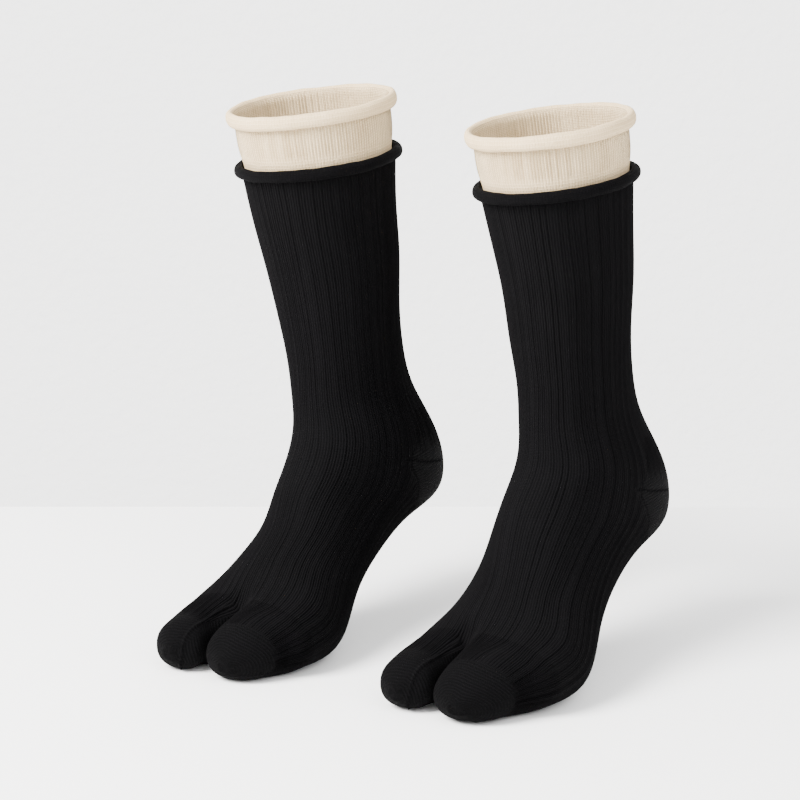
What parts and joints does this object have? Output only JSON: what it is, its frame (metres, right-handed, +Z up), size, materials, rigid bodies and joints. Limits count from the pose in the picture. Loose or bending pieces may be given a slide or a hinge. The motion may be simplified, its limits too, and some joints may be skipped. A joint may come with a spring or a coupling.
{
  "type": "pair of split-toe ankle-to-calf socks",
  "caption": "Black ribbed split-toe (tabi) crew socks, filled out on a raised-heel foot form, with a rolled top edge and an undyed ribbed inner cuff that stands above it.",
  "frame": {"origin": "midway between the centres of the two top openings, at the level of the rolled cream edges, where the wearer's legs hold the socks up", "axes": "+Z up, the toes point to -Y, +X is the wearer's left"},
  "size_m": [0.2723, 0.2403, 0.3078],
  "materials": {
    "black_rib": "matte black cotton, fine rib knit",
    "black_plain": "matte black cotton, plain knit",
    "cream_rib": "matte undyed cotton, rib knit",
    "cream_plain": "matte undyed cotton, plain knit with a soft nap"
  },
  "bodies": {
    "root": {"sock1_leg": "black_rib", "sock1_instep": "black_rib", "sock1_heel": "black_plain", "sock1_sole": "black_plain", "sock1_big_toe": "black_plain", "sock1_small_toes": "black_plain", "sock1_edge_roll": "black_plain", "sock1_cuff": "cream_rib", "sock1_cuff_roll": "cream_plain", "sock2_leg": "black_rib", "sock2_instep": "black_rib", "sock2_heel": "black_plain", "sock2_sole": "black_plain", "sock2_big_toe": "black_plain", "sock2_small_toes": "black_plain", "sock2_edge_roll": "black_plain", "sock2_cuff": "cream_rib", "sock2_cuff_roll": "cream_plain"}
  },
  "joints": []
}
